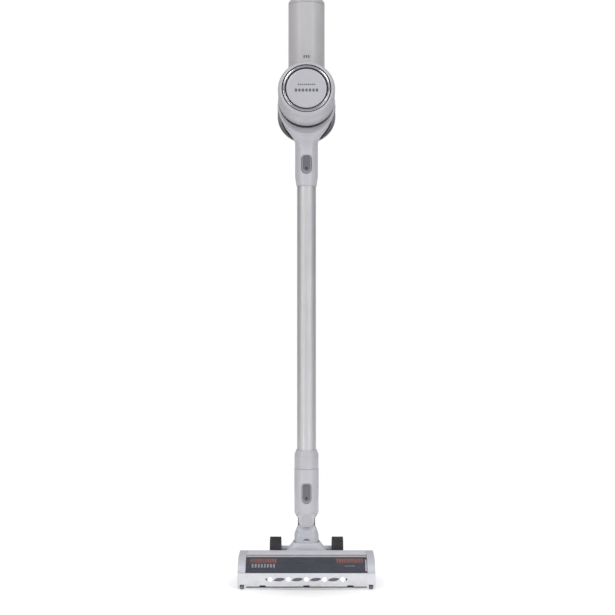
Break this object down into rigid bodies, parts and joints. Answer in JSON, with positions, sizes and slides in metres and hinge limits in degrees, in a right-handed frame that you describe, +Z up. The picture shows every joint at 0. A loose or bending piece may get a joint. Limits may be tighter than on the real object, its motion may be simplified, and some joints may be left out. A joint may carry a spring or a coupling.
{
  "type": "cordless stick vacuum",
  "caption": "Upright battery stick vacuum: lit brush head on a tilting, swivelling neck, aluminium wand, and a handheld motor unit with dust cup, battery barrel and D-grip.",
  "frame": {"origin": "on the floor under the axis of the wand, which is also the middle of the bounding box", "axes": "+Z up along the wand; -Y towards the front, where the head's lights and the motor's disc face; +X to the right as seen from the front"},
  "size_m": [0.252, 0.212, 1.108],
  "materials": {
    "white_plastic": "satin moulded ABS, pale lavender white",
    "grey_plastic": "satin mid-grey plastic",
    "dark_plastic": "matt black plastic",
    "wand_aluminium": "satin anodised tube",
    "chrome_trim": "polished plating",
    "steel_part": "ground steel",
    "motor_metal": "motor can with windings",
    "soft_rubber": "matt dark rubber",
    "wheel_rubber": "dark grey rubber",
    "hose_plastic": "ribbed flexible plastic",
    "smoke_window": "smoky clear plastic",
    "cup_plastic": "grey translucent plastic",
    "orange_bristle": "nylon bristle",
    "dark_bristle": "soft dark fibre",
    "filter_paper": "pleated filter paper",
    "clear_lens": "clear light lens",
    "cell_wrap": "wrapped lithium cells"
  },
  "bodies": {
    "floor_head": {"head_chassis": "grey_plastic", "head_top_cover": "white_plastic", "end_cap_left": "white_plastic", "end_cap_right": "white_plastic", "brush_window": "smoke_window", "front_bumper": "white_plastic", "led_trim": "dark_plastic", "led_lenses": "clear_lens", "sole_felt_strip": "soft_rubber", "brush_motor": "steel_part", "drive_belt": "soft_rubber", "suction_duct": "grey_plastic"},
    "brush_roll": {"brush_core": "grey_plastic", "bristles_orange": "orange_bristle", "bristles_dark": "dark_bristle", "brush_pulley": "dark_plastic"},
    "motor_pulley": {"motor_pulley": "dark_plastic"},
    "brush_lock_knob": {"brush_lock_knob": "grey_plastic"},
    "front_roller_left": {"front_roller_left": "soft_rubber"},
    "front_roller_right": {"front_roller_right": "soft_rubber"},
    "rear_roller_left": {"rear_roller_left": "soft_rubber"},
    "rear_roller_right": {"rear_roller_right": "soft_rubber"},
    "yoke": {"yoke_shell": "white_plastic", "trunnion_pin_left": "steel_part", "trunnion_pin_right": "steel_part", "swivel_pin_front": "steel_part", "swivel_pin_rear": "steel_part", "wheel_axle": "grey_plastic", "neck_hose": "hose_plastic"},
    "wheel_left": {"wheel_hub_left": "grey_plastic", "wheel_tyre_left": "wheel_rubber"},
    "wheel_right": {"wheel_hub_right": "grey_plastic", "wheel_tyre_right": "wheel_rubber"},
    "neck": {"neck_shell": "white_plastic"},
    "head_release_button": {"head_release_button": "grey_plastic"},
    "wand": {"wand_tube": "wand_aluminium", "wand_lower_collar": "white_plastic", "wand_wire_duct": "dark_plastic"},
    "handheld": {"inlet_body": "white_plastic", "seam_gasket": "soft_rubber", "motor_housing": "white_plastic", "motor_can": "motor_metal", "hepa_filter": "filter_paper", "mesh_filter": "steel_part", "barrel_shell": "white_plastic", "grip_shell": "white_plastic", "grip_pad": "soft_rubber", "status_lights": "clear_lens"},
    "wand_release_button": {"wand_release_button": "grey_plastic"},
    "impeller": {"impeller": "grey_plastic"},
    "filter_cover": {"front_cap": "white_plastic", "chrome_ring": "chrome_trim", "cap_base": "dark_plastic"},
    "dust_cup": {"dust_cup": "cup_plastic"},
    "cup_lid": {"cup_lid": "grey_plastic"},
    "lid_latch": {"lid_latch": "grey_plastic"},
    "battery_pack": {"battery_case": "white_plastic", "battery_cells": "cell_wrap"},
    "power_trigger": {"power_trigger": "grey_plastic"},
    "mode_button": {"mode_button": "grey_plastic"}
  },
  "joints": [
    {"name": "brush_spin", "type": "hinge", "parent": "floor_head", "child": "brush_roll", "pos_m": [0, -0.078, 0.022], "axis": [1, 0, 0], "continuous": true},
    {"name": "brush_motor_spin", "type": "hinge", "parent": "floor_head", "child": "motor_pulley", "pos_m": [0, -0.04, 0.024], "axis": [1, 0, 0], "continuous": true},
    {"name": "brush_lock_turn", "type": "hinge", "parent": "floor_head", "child": "brush_lock_knob", "pos_m": [-0.126, -0.078, 0.022], "axis": [1, 0, 0], "range_deg": [0, 90]},
    {"name": "front_roller_left_spin", "type": "hinge", "parent": "floor_head", "child": "front_roller_left", "pos_m": [0.11785, -0.0995, 0.0045], "axis": [1, 0, 0], "continuous": true},
    {"name": "front_roller_right_spin", "type": "hinge", "parent": "floor_head", "child": "front_roller_right", "pos_m": [-0.11785, -0.0995, 0.0045], "axis": [1, 0, 0], "continuous": true},
    {"name": "rear_roller_left_spin", "type": "hinge", "parent": "floor_head", "child": "rear_roller_left", "pos_m": [0.03, 0.034, 0.006], "axis": [1, 0, 0], "continuous": true},
    {"name": "rear_roller_right_spin", "type": "hinge", "parent": "floor_head", "child": "rear_roller_right", "pos_m": [-0.03, 0.034, 0.006], "axis": [1, 0, 0], "continuous": true},
    {"name": "head_tilt", "type": "hinge", "parent": "floor_head", "child": "yoke", "pos_m": [0, 0.008, 0.038], "axis": [-1, 0, 0], "range_deg": [0, 80]},
    {"name": "wheel_left_spin", "type": "hinge", "parent": "yoke", "child": "wheel_left", "pos_m": [0.0599, 0.023, 0.0475], "axis": [1, 0, 0], "continuous": true},
    {"name": "wheel_right_spin", "type": "hinge", "parent": "yoke", "child": "wheel_right", "pos_m": [-0.0599, 0.023, 0.0475], "axis": [1, 0, 0], "continuous": true},
    {"name": "head_swivel", "type": "hinge", "parent": "yoke", "child": "neck", "pos_m": [0, 0, 0.107], "axis": [0, 1, 0], "range_deg": [-40, 40], "deforming": ["neck_hose"]},
    {"name": "head_release_press", "type": "slide", "parent": "neck", "child": "head_release_button", "axis": [0, 1, 0], "range_m": [0, 0.0016], "stiffness_N_per_m": 400, "springref_m": -0.0005},
    {"name": "wand_pull", "type": "slide", "parent": "neck", "child": "wand", "axis": [0, 0, 1], "range_m": [0, 0.06]},
    {"name": "handheld_pull", "type": "slide", "parent": "wand", "child": "handheld", "axis": [0, 0, 1], "range_m": [0, 0.07]},
    {"name": "wand_release_press", "type": "slide", "parent": "handheld", "child": "wand_release_button", "axis": [0, 1, 0], "range_m": [0, 0.0014], "stiffness_N_per_m": 400, "springref_m": -0.0005},
    {"name": "impeller_spin", "type": "hinge", "parent": "handheld", "child": "impeller", "pos_m": [0, -0.02955, 0.91158], "axis": [0, 0.9613, -0.2756], "continuous": true},
    {"name": "filter_cover_twist", "type": "hinge", "parent": "handheld", "child": "filter_cover", "pos_m": [0, -0.068, 0.9226], "axis": [0, 0.9903, -0.1392], "range_deg": [0, 30]},
    {"name": "cup_pull", "type": "slide", "parent": "handheld", "child": "dust_cup", "axis": [0, 0.9613, -0.2756], "range_m": [0, 0.12]},
    {"name": "lid_hinge", "type": "hinge", "parent": "dust_cup", "child": "cup_lid", "pos_m": [0, 0.03143, 0.83292], "axis": [-1, 0, 0], "range_deg": [0, 95]},
    {"name": "lid_latch_press", "type": "slide", "parent": "dust_cup", "child": "lid_latch", "axis": [0, -0.9613, 0.2756], "range_m": [0, 0.003], "stiffness_N_per_m": 400, "springref_m": -0.0005},
    {"name": "battery_pull", "type": "slide", "parent": "handheld", "child": "battery_pack", "axis": [0, 0, 1], "range_m": [0, 0.12]},
    {"name": "power_trigger_press", "type": "slide", "parent": "handheld", "child": "power_trigger", "axis": [0, 1, 0], "range_m": [0, 0.005], "stiffness_N_per_m": 250, "springref_m": -0.001},
    {"name": "mode_button_press", "type": "slide", "parent": "handheld", "child": "mode_button", "axis": [0, 0, -1], "range_m": [0, 0.0015], "stiffness_N_per_m": 400, "springref_m": -0.0005}
  ],
  "couplings": [
    {"joint": "brush_motor_spin", "follows": "brush_spin", "ratio": 1.8}
  ]
}
